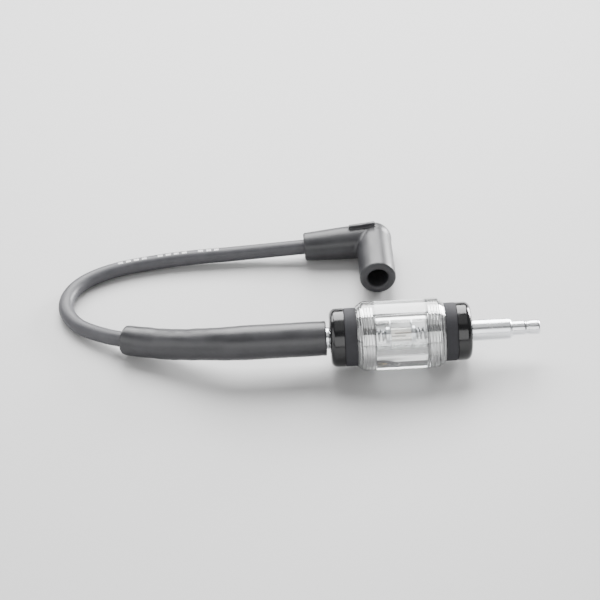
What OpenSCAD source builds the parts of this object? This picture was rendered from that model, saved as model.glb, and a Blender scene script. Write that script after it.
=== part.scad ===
// In-line ignition spark tester: a clear barrel with an indicator lamp, two screw-in end plugs,
// a push-on terminal post, and a short ignition lead with a right-angled boot.

/* [Barrel] */
// Outside diameter of the clear barrel
barrel_d = 30.4; // [29:0.1:36]
// Length of the clear barrel
barrel_len = 38.1; // [36:0.1:46]
// Length of the chamfer at each end of the barrel
chamfer_len = 2.6; // [1:0.1:4]
// Depth of that chamfer, measured square to the axis
chamfer_depth = 1.9; // [0.5:0.1:2]
// Diameter of the lamp chamber
chamber_d = 13; // [11:0.1:18]
// Length of the lamp chamber
chamber_len = 21.7; // [18:0.1:23]

/* [Threads] */
// Outside diameter of the plugs' thread, bands and heads
thread_d = 25.4; // [22:0.1:25.6]
// Pitch of the thread
thread_pitch = 1.27; // [1:0.01:1.6]
// Depth of the plugs' thread
thread_depth = 0.55; // [0.3:0.05:0.8]
// Depth of the barrel's thread
barrel_thread_depth = 0.25; // [0.1:0.05:0.3]
// Gap between the crests of plug and barrel
thread_gap = 0.15; // [0.1:0.01:0.2]

/* [Plugs] */
// Length of a plug's head
head_len = 6.3; // [4:0.1:9]
// Rounding of the head's outer edge
head_round = 2.8; // [0.5:0.1:3.5]
// Length of the plain band between barrel and head
band_len = 5.3; // [3:0.1:8]
// Width and depth of the line between band and head
band_line = 0.3; // [0.2:0.05:0.5]
// Gap between a plug's nose and the chamber's shoulder
seat_gap = 0.2; // [0.1:0.05:0.5]
// Diameter of the spring pocket in a plug's nose
pocket_d = 9.5; // [9.2:0.1:12]
// Depth of the spring pocket
pocket_depth = 10.5; // [9:0.1:13]

/* [Post and stud] */
// Diameter of the terminal post
post_d = 9.4; // [8:0.1:11]
// Length of the post outside its plug
post_len = 17.6; // [10:0.1:25]
// Chamfer on the post's step
post_chamfer = 0.8; // [0.2:0.1:1.2]
// Diameter of the push-on tip
tip_d = 6.35; // [5.5:0.05:7]
// Length of the push-on tip
tip_len = 12.4; // [11:0.1:16]
// Diameter of the tip's waist
waist_d = 5.6; // [4.5:0.1:5.8]
// Width of the waist
waist_w = 2.2; // [1:0.1:3]
// Distance from the tip's end to the middle of the waist
waist_place = 5.7; // [4:0.1:7]
// Rounding of the tip's end
tip_round = 1.2; // [0.5:0.1:2]
// Diameter of the journal on which a plug turns
journal_d = 6; // [5.5:0.1:6.4]
// Radial running gap of a plug on its journal
turn_gap = 0.05; // [0.02:0.01:0.1]
// Gap between faces that turn against each other
end_gap = 0.1; // [0.05:0.01:0.3]
// Diameter of the thrust washer
washer_d = 9; // [8.4:0.1:9]
// Thickness of the thrust washer
washer_t = 0.8; // [0.5:0.1:1.2]
// Diameter of the retaining clip
clip_d = 8.4; // [7.6:0.1:9]
// Thickness of the retaining clip
clip_t = 0.7; // [0.5:0.1:1]
// Depth of the clip's groove in the journal
clip_groove = 0.6; // [0.4:0.1:0.8]
// Width of the clip's mouth
clip_mouth = 3.6; // [3:0.1:4]
// Length of journal past the clip
journal_past = 1; // [0.6:0.1:1.5]
// Diameter of the pilot that centres a contact spring
pilot_d = 3.2; // [2.4:0.1:3.8]
// Length of the pilot
pilot_len = 1.5; // [0.8:0.1:2]
// Length of the lead stud's collar
collar_len = 3; // [2:0.1:5]
// Length of collar that shows outside the sleeve
collar_show = 1.45; // [1:0.05:1.8]
// Diameter of the lead stud's shank
shank_d = 5; // [4:0.1:6]
// Length of the shank
shank_len = 13.8; // [10:0.1:16]
// Number of grip grooves in the shank
shank_grooves = 4; // [2:1:5]
// Depth of those grooves
shank_groove = 0.35; // [0.2:0.05:0.5]

/* [Lamp] */
// Length of the lamp over its caps
lamp_len = 12.6; // [11:0.1:14]
// Diameter of the lamp's glass
glass_d = 6.3; // [5.5:0.1:6.8]
// Wall of the glass
glass_wall = 0.6; // [0.4:0.05:0.8]
// Gap between the glass and its caps
glass_gap = 0.05; // [0.02:0.01:0.1]
// Diameter of a cap's cup
cap_d = 7.4; // [7:0.1:8.4]
// Length of a cap
cap_len = 2; // [1.5:0.1:2.6]
// Thickness of a cap's end
cap_end = 0.5; // [0.3:0.1:0.8]
// Thickness of a cap's flange
flange_t = 0.6; // [0.4:0.1:0.9]
// Gap between the flange and the chamber's wall
flange_gap = 0.05; // [0.03:0.01:0.1]
// Diameter of the boss that centres a spring on a cap
cap_boss_d = 3.8; // [2.4:0.1:4]
// Length of that boss
cap_boss_len = 1.4; // [0.8:0.1:2]
// Diameter of a lamp electrode
electrode_d = 0.9; // [0.5:0.1:1.2]
// Length of a lamp electrode
electrode_len = 8; // [6:0.1:9]
// Distance of an electrode from the lamp's axis
electrode_off = 0.9; // [0.7:0.05:1.2]

/* [Springs] */
// Wire diameter of the contact springs
spring_wire = 0.7; // [0.5:0.05:0.8]
// Mean diameter of the curls
spring_d = 4.9; // [4.7:0.1:5.2]
// Number of curls
spring_curls = 8; // [5:1:9]

/* [Lead] */
// Diameter of the ignition lead
lead_d = 7; // [6:0.1:7.2]
// Diameter of the lead's core
core_d = 1.8; // [1.2:0.1:2.4]
// Length of core bared at each end
core_bare = 3; // [2:0.1:4]
// Diameter of the crimp tube that joins stud and lead
crimp_d = 9.1; // [8.6:0.1:9.4]
// Length of lead held by the crimp tube
crimp_grip = 19; // [12:0.1:20]
// Diameter of the rubber sleeve over the crimp tube
sleeve_d = 15.2; // [14:0.1:17]
// Diameter of the sleeve at its free end
sleeve_end_d = 13.2; // [12:0.1:13.4]
// Gap between the sleeve and what it covers
sleeve_gap = 0.1; // [0.05:0.01:0.2]
// Gap between the lead and the surface that it lies on
lie_gap = 0.1; // [0.05:0.01:0.3]

/* [Boot] */
// Diameter of the boot's arm where the lead goes in
arm_d = 13.1; // [11:0.1:15]
// Diameter of the arm at its shoulder
shoulder_d = 15.4; // [14:0.1:16]
// Distance of the shoulder from the leg's axis
shoulder_at = 15; // [10:0.1:18]
// Degrees that the arm leans down towards the lead
arm_tilt = 2.9; // [0:0.1:3]
// Diameter of the elbow's ball
elbow_d = 17; // [15:0.1:18]
// How far the arm and the leg start inside the ball's surface
elbow_step = 0.3; // [0.2:0.05:0.5]
// Length of the arm, to the leg's axis
arm_len = 33; // [30:0.1:38]
// Rounding at the arm's free end
arm_round = 0.8; // [0.3:0.1:1.5]
// Diameter of the leg at its mouth
leg_d = 16.8; // [15.5:0.1:18]
// Length of the leg, from the arm's axis to the mouth
leg_len = 31; // [28:0.1:38]
// Rounding of the mouth's outer edge
mouth_round = 1.4; // [0.5:0.1:2]
// Diameter of the mouth's bore
mouth_d = 9.4; // [8.9:0.1:9.6]
// Chamfer of the mouth's bore
mouth_chamfer = 0.8; // [0.3:0.1:1]
// Length of the rib on top of the elbow
rib_len = 11.2; // [8:0.1:16]
// How far the rib reaches past the leg's axis
rib_over = 1.2; // [0:0.1:2]
// Width of that rib
rib_w = 1.6; // [1.5:0.1:4]
// Height of the rib over the elbow and the shoulder
rib_h = 2; // [1:0.1:3.5]
// Outside diameter of the terminal's socket
socket_d = 8.4; // [8:0.1:8.8]
// Bore of the terminal's socket
socket_bore_d = 6.6; // [6.4:0.05:7]
// Length of the socket behind the arm's axis
socket_back = 4; // [3:0.1:5]
// Length of the socket before the arm's axis
socket_front = 12.8; // [11:0.1:13.5]
// Wall of the terminal's closed ends
terminal_wall = 1; // [0.6:0.1:1.4]
// Length of lead held by the terminal's crimp
grip_len = 10; // [7:0.1:12]
// Wall of the terminal's crimp
grip_wall = 0.55; // [0.4:0.05:0.8]
// Width of the strip between crimp and socket
strip_w = 5; // [3:0.1:6]
// Distance from the leg's axis to the crimp's closed end
strip_reach = 13; // [11:0.1:15]
// Gap between the terminal and the rubber
seat_fit = 0.05; // [0.03:0.01:0.1]
// Wire of the socket's spring clip
clip_wire = 0.8; // [0.5:0.1:0.9]
// Depth of the clip's groove in the socket
socket_groove = 0.45; // [0.3:0.05:0.5]
// Length of the hollow round the spring clip
clip_room = 3.6; // [3:0.1:4]

/* [Hidden] */
$fn = 64;

// Stations along the axis, counted outwards from the middle of the barrel
shoulder = chamber_len / 2;
nose = shoulder + seat_gap;
barrel_end = barrel_len / 2;
head_in = barrel_end + band_len;
head_out = head_in + head_len;
pocket_end = nose + pocket_depth;
washer_in = pocket_end - end_gap - washer_t;
clip_in = washer_in - end_gap - clip_t;
journal_in = clip_in - journal_past;
pilot_in = journal_in - pilot_len;
step = head_out + end_gap;
post_end = step + post_len;
tip_end = post_end + tip_len;
collar_end = step + collar_len;
sleeve_start = step + collar_show;
stud_end = collar_end + shank_len;
core_start = stud_end + end_gap;
lead_start = core_start + core_bare;
crimp_end = lead_start + crimp_grip;
lamp_end = lamp_len / 2;
cap_in = lamp_end - cap_len;

// The axis lies one barrel radius above the ground, and X = 0 is the middle of the rigid part
axis_z = barrel_d / 2;
mid_x = (tip_end - stud_end) / 2;
female_crest = thread_d / 2 + thread_gap;
journal_bore = journal_d / 2 + turn_gap;
eps = 0.01;
// How far a cut runs past the face that it opens
over = 1;
// A ridge of the plugs' thread, in parts of the pitch: foot, two corners of the crest, foot
ridge = [0.05, 0.42, 0.58, 0.95];

// Place of the boot's elbow, from the middle of the barrel, and stations of its parts
boot_at = [-6.3, 81.5];
boot_z = max(leg_d, elbow_d) / 2;
arm_way = [cos(arm_tilt), 0, sin(arm_tilt)];
function on_arm(reach) = [boot_at[0], boot_at[1], boot_z] - reach * arm_way;
grip_r = lead_d / 2 + seat_fit + grip_wall;
grip_end = strip_reach + terminal_wall + core_bare + grip_len;
lead_stop = strip_reach + terminal_wall + core_bare;
clip_mid = socket_front - clip_room / 2 + clip_wire / 2;
clip_hollow = mouth_d / 2 + 4 * seat_fit;
clip_arc = 300;

// Route of the lead, from the middle of the barrel: the stretch from the crimp tube to the boot
lie_z = lead_d / 2 + lie_gap;
sleeve_spans = 3;
route = [
    [-crimp_end, 0, axis_z],
    [-88, 4, 12.5],
    [-105, 11, 8.5],
    [-121, 17.5, sleeve_end_d / 2 + lie_gap],
    [-132, 24, 5],
    [-144, 34, lie_z],
    [-149.5, 43.5, lie_z],
    [-150.5, 52, lie_z],
    [-148, 60.5, lie_z],
    [-142, 68, lie_z],
    [-130, 75, lie_z],
    [-110, 80, lie_z],
    [-95, 81.5, 4],
    [-76, 82, 4.5],
    [-57, 82, 5.5],
    on_arm(arm_len)
];
steps = 4;
lead_sides = 12;
core_sides = 8;
sleeve_sides = 24;
sleeve_taper = 0.6;
spring_rings = 8;
spring_sides = 6;

function unit(v) = v / norm(v);

// Direction of the route at a point: halfway between its two spans
function heading(p, i) =
    i == 0 ? [-1, 0, 0] :
    i == len(p) - 1 ? arm_way :
    unit(unit(p[i] - p[i - 1]) + unit(p[i + 1] - p[i]));

// Cubic curve between two points, with a direction at each end
function span(a, b, da, db, t) =
    let (reach = norm(b - a))
    a * (2 * pow(t, 3) - 3 * pow(t, 2) + 1) + b * (3 * pow(t, 2) - 2 * pow(t, 3))
    + da * reach * (pow(t, 3) - 2 * pow(t, 2) + t) + db * reach * (pow(t, 3) - pow(t, 2));

function curve(p, last) = concat([p[0]], [for (i = [0 : last - 1], k = [1 : steps])
    span(p[i], p[i + 1], heading(p, i), heading(p, i + 1), k / steps)]);

function run_length(p) = len(p) < 2 ? 0 : [for (i = 0, s = 0; i < len(p); i = i + 1,
    s = i < len(p) ? s + norm(p[i] - p[i - 1]) : s) s][len(p) - 1];

// Frames [centre, side, up] along a path that never runs straight up
function path_frames(p) = [for (i = [0 : len(p) - 1])
    let (t = unit(p[min(i + 1, len(p) - 1)] - p[max(i - 1, 0)]), side = unit(cross([0, 0, 1], t)))
    [p[i], side, cross(t, side)]];

// Frames along a helix about the axis, from station a to station b
function helix_frames(a, b, r, curls, rings) = [for (i = [0 : curls * rings])
    let (turn = 360 * i / rings, out = [0, cos(turn), sin(turn)],
        t = unit([(b - a) / curls, -sin(turn) * 2 * PI * r, cos(turn) * 2 * PI * r]))
    [[a + (b - a) * i / (curls * rings), 0, 0] + r * out, out, cross(t, out)]];

function ring(f, r, sides) = [for (k = [0 : sides - 1])
    let (a = 360 * k / sides) f[0] + r * (cos(a) * f[1] + sin(a) * f[2])];

// Triangles of a wall between rings of points; flip turns them over
function wall_faces(count, sides, from, flip) = [for (i = [0 : count - 2], k = [0 : sides - 1], half = [0, 1])
    let (a = from + i * sides + k, b = from + i * sides + (k + 1) % sides,
        tri = half == 0 ? [a, b, b + sides] : [a, b + sides, a + sides])
    flip ? [tri[2], tri[1], tri[0]] : tri];

function fan(sides, from, flip) = [for (k = [1 : sides - 2])
    flip ? [from, from + k, from + k + 1] : [from + k + 1, from + k, from]];

function washer_faces(sides, outer, inner, flip) = [for (k = [0 : sides - 1], half = [0, 1])
    let (n = (k + 1) % sides,
        tri = half == 0 ? [outer + k, inner + k, inner + n] : [outer + k, inner + n, outer + n])
    flip ? [tri[2], tri[1], tri[0]] : tri];

// Solid tube along frames, with one radius for each frame
module rod(frames, radii, sides) {
    count = len(frames);
    polyhedron(
        points = [for (i = [0 : count - 1]) each ring(frames[i], radii[i], sides)],
        faces = concat(wall_faces(count, sides, 0, true), fan(sides, 0, true),
            fan(sides, (count - 1) * sides, false)));
}

// Hollow tube along frames, with an outer and an inner radius for each frame
module hose(frames, outer, inner, sides) {
    count = len(frames);
    inside = count * sides;
    polyhedron(
        points = concat([for (i = [0 : count - 1]) each ring(frames[i], outer[i], sides)],
            [for (i = [0 : count - 1]) each ring(frames[i], inner[i], sides)]),
        faces = concat(wall_faces(count, sides, 0, true), wall_faces(count, sides, inside, false),
            washer_faces(sides, 0, inside, true),
            washer_faces(sides, inside - sides, 2 * inside - sides, false)));
}

// The same value for every frame
function same(v, frames) = [for (f = frames) v];

// Places what is drawn along +Z on the barrel's axis: side 1 is the post's end, -1 the lead's end
module at_end(side) {
    translate([-mid_x, 0, axis_z]) mirror([side > 0 ? 0 : 1, 0, 0]) rotate([0, 90, 0]) children();
}

// Places what is drawn from the middle of the barrel, on the ground
module on_ground() {
    translate([-mid_x, 0, 0]) children();
}

module at_elbow() {
    on_ground() translate([boot_at[0], boot_at[1], boot_z]) rotate([0, -arm_tilt, 0]) children();
}

module along_arm() {
    at_elbow() rotate([0, -90, 0]) children();
}

module along_leg() {
    at_elbow() rotate([90, 0, 0]) children();
}

// Quarter round from the side of a turned shape to its end
function corner(r, z, round) = [for (a = [0 : 15 : 90])
    [r - round + round * cos(a), z - round + round * sin(a)]];

// Hole from station a to station b
module hole(a, b, r) {
    translate([0, 0, a]) cylinder(h = b - a, r = r);
}

// Barrel

module barrel_thread() {
    turns = floor((barrel_end - shoulder) / thread_pitch);
    rotate_extrude() polygon(concat([[0, shoulder]],
        [for (i = [0 : turns - 1], half = [0, 1])
            [female_crest + half * barrel_thread_depth, shoulder + (i + half / 2) * thread_pitch]],
        [[female_crest, shoulder + turns * thread_pitch], [female_crest, barrel_end + over],
            [0, barrel_end + over]]));
}

module barrel() {
    r = barrel_d / 2;
    color([0.85, 0.92, 0.95, 0.4]) difference() {
        at_end(1) rotate_extrude() polygon([[0, -barrel_end], [r - chamfer_depth, -barrel_end],
            [r, chamfer_len - barrel_end], [r, barrel_end - chamfer_len], [r - chamfer_depth, barrel_end],
            [0, barrel_end]]);
        at_end(1) hole(-shoulder - eps, shoulder + eps, chamber_d / 2);
        at_end(1) barrel_thread();
        at_end(-1) barrel_thread();
    }
}

// End plugs

module plug() {
    crest = thread_d / 2;
    root = crest - thread_depth;
    turns = floor((barrel_end - nose) / thread_pitch);
    color([0.03, 0.03, 0.03]) difference() {
        rotate_extrude() polygon(concat([[0, nose], [root, nose]],
            [for (i = [0 : turns - 1],
                p = [[root, ridge[0]], [crest, ridge[1]], [crest, ridge[2]], [root, ridge[3]]])
                [p[0], nose + (i + p[1]) * thread_pitch]],
            [[root, barrel_end], [crest, barrel_end], [crest, head_in - band_line],
                [crest - band_line, head_in - band_line], [crest - band_line, head_in], [crest, head_in]],
            corner(crest, head_out, head_round), [[0, head_out]]));
        hole(nose - over, pocket_end, pocket_d / 2);
        hole(pocket_end - over, head_out + over, journal_bore);
    }
}

module post_plug() {
    at_end(1) plug();
}

module lead_plug() {
    at_end(-1) plug();
}

// Post and stud

// Outline of the journal, from its pilot to the step outside the plug
function journal() =
    let (r = journal_d / 2, low = clip_in - end_gap / 2, high = clip_in + clip_t + end_gap / 2)
    [[0, pilot_in], [pilot_d / 2, pilot_in], [pilot_d / 2, journal_in], [r, journal_in], [r, low],
        [r - clip_groove, low], [r - clip_groove, high], [r, high], [r, step]];

module terminal_post() {
    waist = tip_end - waist_place;
    color([0.8, 0.8, 0.8]) at_end(1) rotate_extrude() polygon(concat(journal(),
        [[post_d / 2, step], [post_d / 2, post_end - post_chamfer], [post_d / 2 - post_chamfer, post_end],
            [tip_d / 2, post_end], [tip_d / 2, waist - waist_w / 2], [waist_d / 2, waist - waist_w / 6],
            [waist_d / 2, waist + waist_w / 6], [tip_d / 2, waist + waist_w / 2]],
        corner(tip_d / 2, tip_end, tip_round), [[0, tip_end]]));
}

module lead_stud() {
    pitch = shank_len / (shank_grooves + 1);
    r = shank_d / 2;
    color([0.8, 0.8, 0.8]) at_end(-1) rotate_extrude() polygon(concat(journal(),
        [[post_d / 2, step], [post_d / 2, collar_end], [r, collar_end]],
        [for (i = [1 : shank_grooves], k = [[0, -2], [1, -1], [1, 1], [0, 2]])
            [r - k[0] * shank_groove, collar_end + i * pitch + k[1] * shank_groove]],
        [[r, stud_end], [0, stud_end]]));
}

module thrust_washer() {
    color([0.75, 0.72, 0.65]) difference() {
        hole(washer_in, washer_in + washer_t, washer_d / 2);
        hole(washer_in - over, washer_in + washer_t + over, journal_bore);
    }
}

module post_washer() {
    at_end(1) thrust_washer();
}

module lead_washer() {
    at_end(-1) thrust_washer();
}

module retaining_clip() {
    color([0.35, 0.35, 0.37]) difference() {
        hole(clip_in, clip_in + clip_t, clip_d / 2);
        hole(clip_in - over, clip_in + clip_t + over, journal_d / 2 - clip_groove + turn_gap);
        translate([0, -clip_mouth / 2, clip_in - over]) cube([clip_d, clip_mouth, clip_t + 2 * over]);
    }
}

module post_clip() {
    at_end(1) retaining_clip();
}

module lead_clip() {
    at_end(-1) retaining_clip();
}

// Lamp and springs

module lamp_glass() {
    reach = lamp_end - cap_end - glass_gap;
    color([0.95, 0.9, 0.8, 0.5]) at_end(1) difference() {
        hole(-reach, reach, glass_d / 2);
        hole(-reach - over, reach + over, glass_d / 2 - glass_wall);
    }
}

module lamp_cap() {
    color([0.72, 0.72, 0.74]) difference() {
        union() {
            hole(cap_in, lamp_end, cap_d / 2);
            hole(cap_in, cap_in + flange_t, chamber_d / 2 - flange_gap);
            hole(lamp_end - eps, lamp_end + cap_boss_len, cap_boss_d / 2);
        }
        hole(cap_in - over, lamp_end - cap_end, glass_d / 2 + glass_gap);
    }
}

module lamp_cap_post() {
    at_end(1) lamp_cap();
}

module lamp_cap_lead() {
    at_end(-1) lamp_cap();
}

module lamp_electrode() {
    color([0.55, 0.5, 0.45]) translate([0, electrode_off, 0])
        hole(lamp_end - cap_end - electrode_len, lamp_end - cap_end, electrode_d / 2);
}

module lamp_electrode_post() {
    at_end(1) lamp_electrode();
}

module lamp_electrode_lead() {
    at_end(-1) rotate([0, 0, 180]) lamp_electrode();
}

spring_in = (spring_wire + end_gap) / 2;
spring_frames = helix_frames(lamp_end + spring_in, journal_in - spring_in, spring_d / 2, spring_curls,
    spring_rings);
spring_last = len(spring_frames) - 1;
spring_gap = min([for (i = [0 : spring_last], j = [i + spring_rings / 2 : 1 : spring_last])
    norm(spring_frames[i][0] - spring_frames[j][0])]) - spring_wire;
echo(str("least gap between curls of a contact spring: ", spring_gap, " mm"));

module contact_spring() {
    color([0.7, 0.7, 0.72]) rod(spring_frames, same(spring_wire / 2, spring_frames), spring_sides);
}

module post_spring() {
    translate([-mid_x, 0, axis_z]) contact_spring();
}

module lead_spring() {
    translate([-mid_x, 0, axis_z]) rotate([0, 0, 180]) contact_spring();
}

// Lead

module lead_crimp() {
    color([0.7, 0.55, 0.3]) at_end(-1) difference() {
        hole(collar_end + end_gap, crimp_end, crimp_d / 2);
        hole(collar_end, lead_start, shank_d / 2 + seat_fit);
        hole(lead_start - eps, crimp_end + over, lead_d / 2 + seat_fit);
    }
}

free_path = curve(route, len(route) - 1);
sleeve_path = concat([for (s = [0 : 2]) [-sleeve_start - s * (crimp_end - sleeve_start) / 3, 0, axis_z]],
    curve(route, sleeve_spans));
lead_path = concat([[-lead_start, 0, axis_z]], free_path, [on_arm(lead_stop)]);
core_path = concat([[-core_start, 0, axis_z]], lead_path,
    [on_arm(strip_reach + terminal_wall + end_gap)]);

// Share of the sleeve's free stretch that lies before a frame: 0 over the crimp tube, 1 at the free end
function sleeve_share(i) = max(0, (i - 3) / (len(sleeve_path) - 4));

module lead_sleeve() {
    flat = cos(180 / sleeve_sides);
    frames = path_frames(sleeve_path);
    wide = (max(post_d, crimp_d) / 2 + sleeve_gap) / flat;
    close = (lead_d / 2 + sleeve_gap) / flat;
    color([0.16, 0.16, 0.17]) on_ground() hose(frames,
        [for (i = [0 : len(frames) - 1])
            (sleeve_d + (sleeve_end_d - sleeve_d) * pow(sleeve_share(i), sleeve_taper)) / 2],
        [for (i = [0 : len(frames) - 1]) i > 4 ? close : wide], sleeve_sides);
}

module lead_jacket() {
    frames = path_frames(lead_path);
    color([0.14, 0.14, 0.15]) on_ground()
        hose(frames, same(lead_d / 2, frames), same(core_d / 2 + seat_fit, frames), lead_sides);
}

module lead_core() {
    frames = path_frames(core_path);
    color([0.2, 0.2, 0.2]) on_ground() rod(frames, same(core_d / 2, frames), core_sides);
}

echo(str("lead between crimp tube and boot: ", run_length(free_path), " mm"));
echo(str("lead from end to end: ", run_length(lead_path), " mm"));

// Boot

module boot() {
    r = elbow_d / 2;
    color([0.2, 0.2, 0.21]) difference() {
        union() {
            along_arm() rotate_extrude() polygon(concat([[0, 0], [r - elbow_step, 0], [shoulder_d / 2, shoulder_at]],
                corner(arm_d / 2, arm_len, arm_round), [[0, arm_len]]));
            along_leg() rotate_extrude() polygon(concat([[0, 0], [r - elbow_step, 0]],
                corner(leg_d / 2, leg_len, mouth_round), [[0, leg_len]]));
            at_elbow() sphere(r = r);
            at_elbow() rotate([90, 0, 0]) translate([0, 0, -rib_w / 2]) linear_extrude(rib_w)
                polygon([[-rib_len, 0], [rib_over, 0], [rib_over, r + rib_h],
                    [-rib_len, shoulder_d / 2 + rib_h]]);
        }
        along_arm() hole(grip_end, arm_len + over, lead_d / 2 + seat_fit);
        along_arm() hole(strip_reach - seat_fit, grip_end + seat_fit, grip_r + seat_fit);
        along_arm() translate([0, 0, strip_reach / 2])
            cube([terminal_wall + 2 * seat_fit, strip_w + 2 * seat_fit, strip_reach], center = true);
        along_leg() hole(-socket_back - seat_fit, socket_front, socket_d / 2 + seat_fit);
        along_leg() hole(socket_front - clip_room, socket_front + seat_fit, clip_hollow);
        along_leg() hole(socket_front, leg_len + over, mouth_d / 2);
        along_leg() translate([0, 0, leg_len - mouth_chamfer])
            cylinder(h = mouth_chamfer + eps, r1 = mouth_d / 2, r2 = mouth_d / 2 + mouth_chamfer);
    }
}

module boot_terminal() {
    color([0.75, 0.62, 0.35]) difference() {
        union() {
            along_leg() hole(-socket_back, socket_front, socket_d / 2);
            along_arm() hole(strip_reach, grip_end, grip_r);
            along_arm() translate([-terminal_wall / 2, -strip_w / 2, 0])
                cube([terminal_wall, strip_w, strip_reach + eps]);
        }
        along_leg() hole(terminal_wall - socket_back, socket_front + over, socket_bore_d / 2);
        along_arm() hole(strip_reach + terminal_wall, grip_end + over, lead_d / 2 + seat_fit);
        along_leg() difference() {
            hole(clip_mid - clip_wire / 2 - seat_fit, clip_mid + clip_wire / 2 + seat_fit, socket_d);
            hole(0, socket_front, socket_d / 2 - socket_groove);
        }
    }
}

module boot_clip() {
    r = socket_d / 2 - socket_groove + clip_wire / 2 + seat_fit;
    color([0.6, 0.6, 0.62]) along_leg() translate([0, 0, clip_mid]) rotate([0, 0, (360 - clip_arc) / 2])
        rotate_extrude(angle = clip_arc) translate([r, 0]) circle(d = clip_wire, $fn = 32);
}

barrel();
post_plug();
lead_plug();
terminal_post();
post_washer();
post_clip();
lead_stud();
lead_washer();
lead_clip();
lamp_glass();
lamp_cap_post();
lamp_cap_lead();
lamp_electrode_post();
lamp_electrode_lead();
post_spring();
lead_spring();
lead_crimp();
lead_sleeve();
lead_jacket();
lead_core();
boot();
boot_terminal();
boot_clip();
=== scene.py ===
import math

import bmesh
import bpy
import numpy as np
from mathutils import Matrix, Vector


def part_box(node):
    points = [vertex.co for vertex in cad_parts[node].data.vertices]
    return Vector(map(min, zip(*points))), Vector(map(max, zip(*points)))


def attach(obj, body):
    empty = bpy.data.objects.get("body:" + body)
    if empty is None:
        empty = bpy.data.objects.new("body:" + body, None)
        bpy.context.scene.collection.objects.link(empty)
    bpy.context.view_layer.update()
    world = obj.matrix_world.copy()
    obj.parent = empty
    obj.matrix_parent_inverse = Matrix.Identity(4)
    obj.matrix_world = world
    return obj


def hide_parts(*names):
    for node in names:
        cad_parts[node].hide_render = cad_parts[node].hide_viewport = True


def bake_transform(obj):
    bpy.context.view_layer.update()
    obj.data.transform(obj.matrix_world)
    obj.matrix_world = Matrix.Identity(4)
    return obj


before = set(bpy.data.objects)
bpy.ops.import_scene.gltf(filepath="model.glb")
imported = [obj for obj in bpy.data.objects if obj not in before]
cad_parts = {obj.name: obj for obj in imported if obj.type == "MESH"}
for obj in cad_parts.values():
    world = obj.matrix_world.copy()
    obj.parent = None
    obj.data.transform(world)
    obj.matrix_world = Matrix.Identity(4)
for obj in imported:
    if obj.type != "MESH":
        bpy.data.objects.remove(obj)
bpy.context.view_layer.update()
scene = bpy.context.scene
mm = 0.001
axisZ = 15.2  # the barrel's axis above the ground, in millimetres
midX = 6.6  # the barrel's middle lies this far left of the origin

# Camera

cameraSettings = {
    "place": (-49.3, -597.3, 486.9),  # millimetres
    "tilt": 37.0,  # degrees below the horizon
    "roll": 3.14,  # the right end of the picture sits higher
    "lens": 105.0,
    "sensor": 36,
    "clip": (0.01, 20),
}


def placeCamera(s):
    data = bpy.data.cameras.new("photoCamera")
    data.lens = s["lens"]
    data.sensor_width = s["sensor"]
    data.clip_start, data.clip_end = s["clip"]
    cam = bpy.data.objects.new("photoCamera", data)
    scene.collection.objects.link(cam)
    tilt = math.radians(s["tilt"])
    roll = math.radians(s["roll"])
    forward = Vector((0, math.cos(tilt), -math.sin(tilt)))
    level = Vector((1, 0, 0))
    rise = level.cross(forward)
    right = math.cos(roll) * level - math.sin(roll) * rise
    up = math.sin(roll) * level + math.cos(roll) * rise
    turn = Matrix((right, up, -forward)).transposed().to_4x4()
    cam.matrix_world = Matrix.Translation(Vector(s["place"]) * mm) @ turn
    scene.camera = cam


placeCamera(cameraSettings)
print("camera placed")

# The boot's arm, which holds the end of the lead

armSettings = {
    "elbow": (-6.3, 81.5, 8.5),
    "length": 33.0,
    "tilt": 2.9,  # degrees that the arm leans down to the lead
}


def armWay(s):
    lean = math.radians(s["tilt"])
    return Vector((math.cos(lean), 0, math.sin(lean)))


def armPoint(s, reach):
    return Vector(s["elbow"]) - armWay(s) * reach


# Route of the lead, as in the part's source

leadSettings = {
    "diameter": 7.0,
    "coreDiameter": 1.8,
    "lie": 3.6,  # height of the lead's middle where it lies on the ground
    "coreStart": 47.65,  # distances from the barrel's middle, on its axis
    "start": 50.65,
    "crimpEnd": 69.65,
    "stop": 17.0,  # distances from the boot's elbow
    "coreStop": 14.1,
    "sides": 48,
    "coreSides": 16,
    "steps": 8,  # points in each span
    "endSteps": 6,  # points in each straight end
    "inkFrom": 0.1535,  # metres along the jacket
    "inkTo": 0.206,
    "inkSide": (0.0, 0.0, 1.0),  # the ink faces up
    "inkHalf": 13.0,  # degrees
    "inkDashes": 260.0,  # in a metre
    "inkDash": 0.62,  # share of a dash that is inked
    "inkRows": 52.0,  # in a metre
    "inkGap": 0.2,  # share of a row that is bare
    "inkTone": 0.72,
    "inkWear": 1800.0,  # scale of the worn spots
}


def leadRoute(s, arm):
    lie = s["lie"]
    return [
        (-s["crimpEnd"], 0, axisZ), (-88, 4, 12.5), (-105, 11, 8.5), (-121, 17.5, 6.7), (-132, 24, 5),
        (-144, 34, lie), (-149.5, 43.5, lie), (-150.5, 52, lie), (-148, 60.5, lie), (-142, 68, lie),
        (-130, 75, lie), (-110, 80, lie), (-95, 81.5, 4), (-76, 82, 4.5), (-57, 82, 5.5),
        armPoint(arm, arm["length"]),
    ]


def smoothCurve(points, steps, way):
    p = [Vector(q) for q in points]
    heads = [Vector((-1, 0, 0))]
    for a, b, c in zip(p, p[1:], p[2:]):
        heads.append(((b - a).normalized() + (c - b).normalized()).normalized())
    heads.append(way)
    line = [p[0]]
    for i in range(len(p) - 1):
        reach = (p[i + 1] - p[i]).length
        for k in range(1, steps + 1):
            t = k / steps
            near = 2 * t ** 3 - 3 * t ** 2 + 1
            leave = reach * (t ** 3 - 2 * t ** 2 + t)
            arrive = reach * (t ** 3 - t ** 2)
            line.append(p[i] * near + p[i + 1] * (1 - near) + heads[i] * leave + heads[i + 1] * arrive)
    return line


def inRow(points):
    return [(Vector(q) - Vector((midX, 0, 0))) * mm for q in points]


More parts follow.
